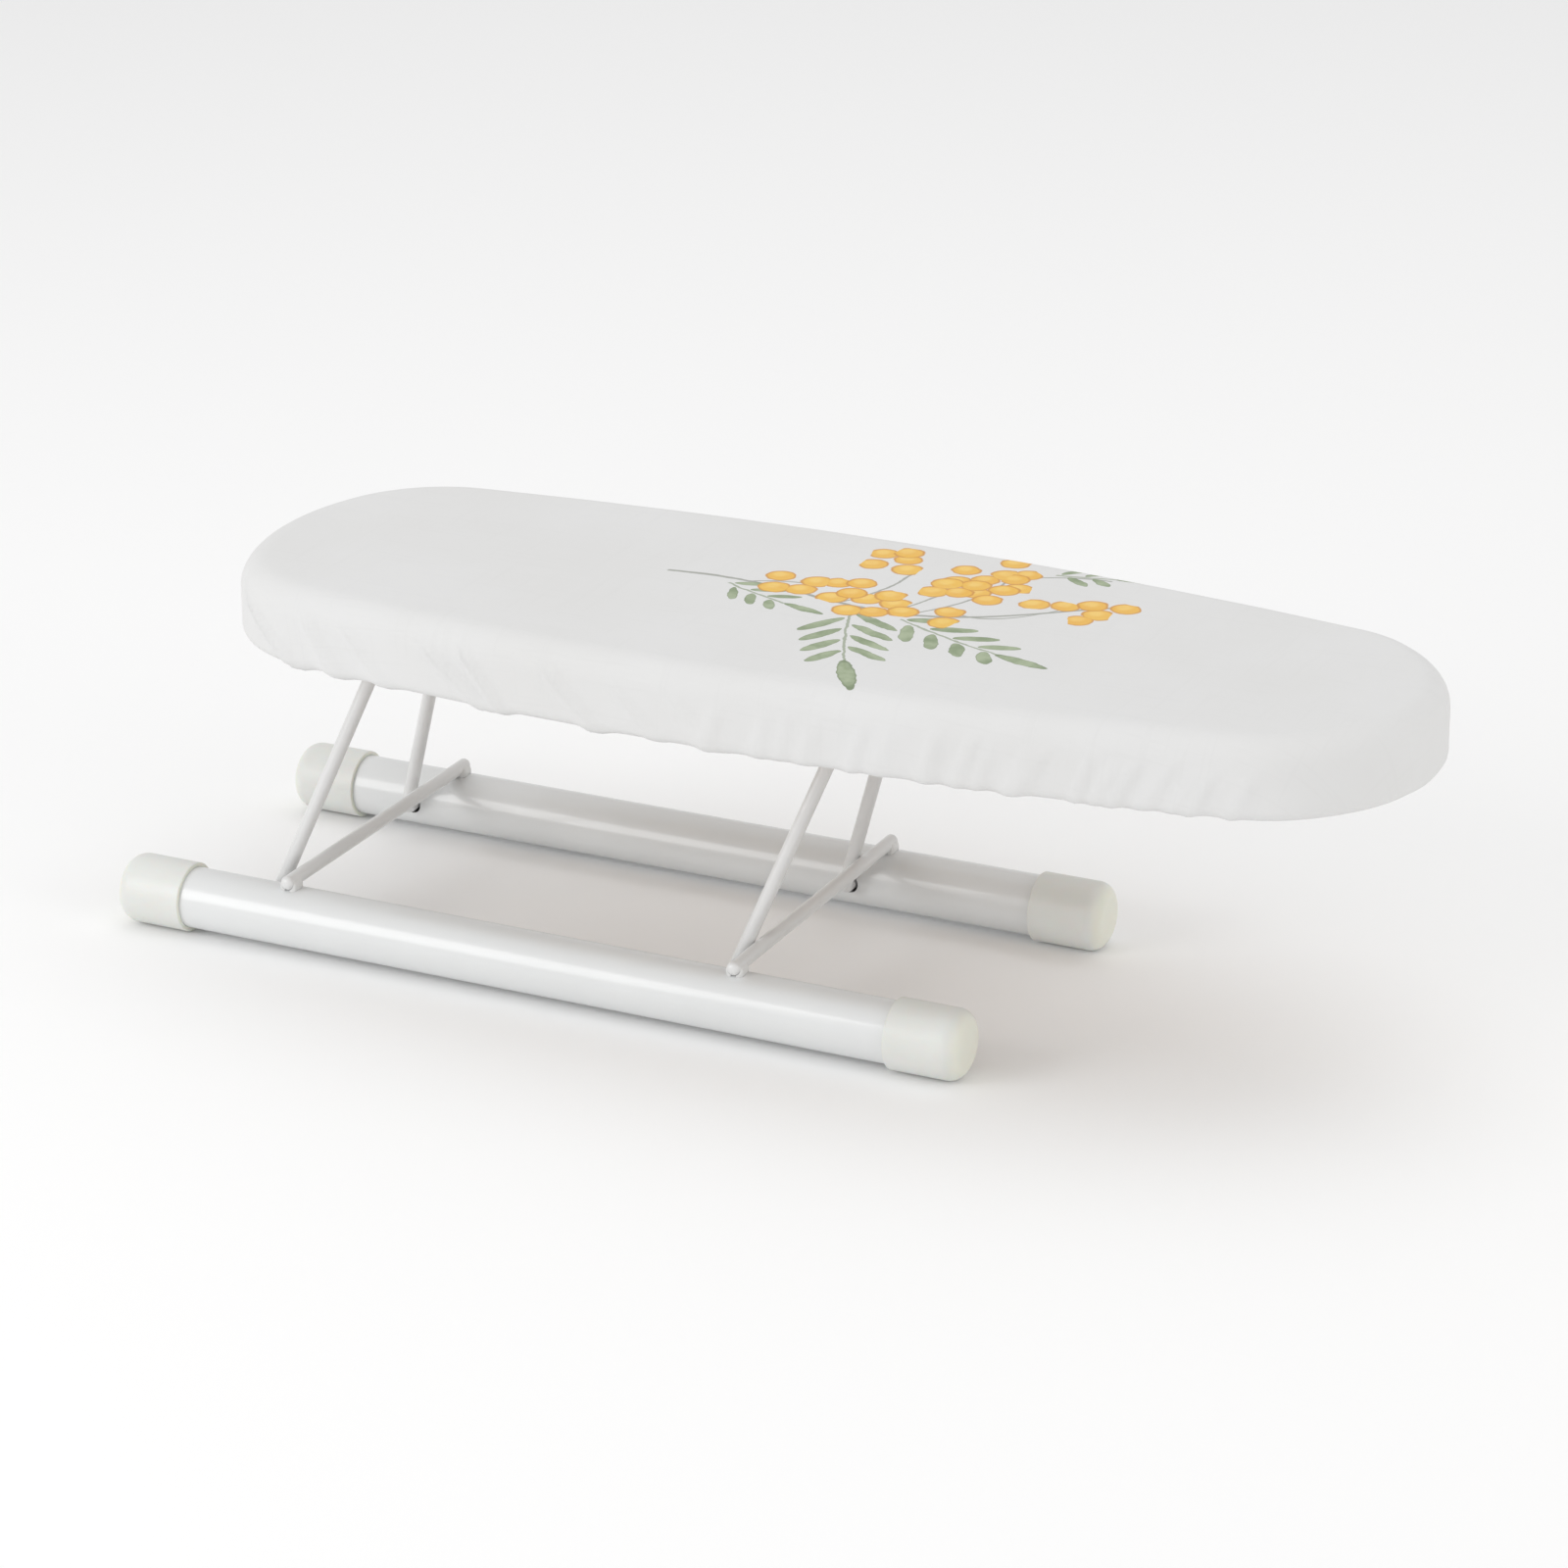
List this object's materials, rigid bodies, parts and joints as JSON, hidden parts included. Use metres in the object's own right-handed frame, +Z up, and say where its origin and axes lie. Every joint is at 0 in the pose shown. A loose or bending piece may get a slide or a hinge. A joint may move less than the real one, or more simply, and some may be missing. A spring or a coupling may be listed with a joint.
{
  "type": "ironing board",
  "caption": "Small table-top ironing board: padded, cloth-covered board on two coupled wire legs that fold flat over a low base of capped tube feet.",
  "frame": {"origin": "on the floor, under the middle of the whole object as it stands open", "axes": "+X along the board towards its narrow end, +Y towards the back foot, +Z up"},
  "size_m": [0.466, 0.1586, 0.137],
  "materials": {
    "painted_tube": "glossy white powder coat",
    "painted_wire": "glossy white powder coat on wire",
    "painted_weld": "white powder coat over weld beads",
    "cap_plastic": "satin moulded polyethylene, warm white",
    "cover_cloth": "printed white cotton, fine plain weave",
    "foam": "soft open foam",
    "fibreboard": "raw fibreboard",
    "elastic": "woven elastic tape",
    "clip_steel": "zinc plated",
    "screw_steel": "zinc plated"
  },
  "bodies": {
    "base": {"front_foot_tube": "painted_tube", "back_foot_tube": "painted_tube", "front_left_cap": "cap_plastic", "front_right_cap": "cap_plastic", "back_left_cap": "cap_plastic", "back_right_cap": "cap_plastic", "left_cross_bar": "painted_wire", "right_cross_bar": "painted_wire", "cross_bar_welds": "painted_weld"},
    "left_leg": {"left_leg_frame": "painted_wire"},
    "right_leg": {"right_leg_frame": "painted_wire"},
    "board": {"deck_board": "fibreboard", "foam_pad": "foam", "cover": "cover_cloth", "hem_elastic": "elastic", "left_front_clip": "clip_steel", "left_back_clip": "clip_steel", "right_front_clip": "clip_steel", "right_back_clip": "clip_steel", "left_clip_screws": "screw_steel", "right_clip_screws": "screw_steel"}
  },
  "joints": [
    {"name": "leg_fold", "type": "hinge", "parent": "base", "child": "left_leg", "pos_m": [-0.1812, 0, 0.0125], "axis": [0, 1, 0], "range_deg": [-100.1, 0]},
    {"name": "right_leg_fold", "type": "hinge", "parent": "base", "child": "right_leg", "pos_m": [-0.0015, 0, 0.0125], "axis": [0, 1, 0], "range_deg": [-100.1, 0]},
    {"name": "board_level", "type": "hinge", "parent": "left_leg", "child": "board", "pos_m": [-0.14706, 0, 0.1076], "axis": [0, 1, 0], "range_deg": [0, 100.1]}
  ],
  "couplings": [
    {"joint": "right_leg_fold", "follows": "leg_fold", "ratio": 1},
    {"joint": "board_level", "follows": "leg_fold", "ratio": -1}
  ]
}
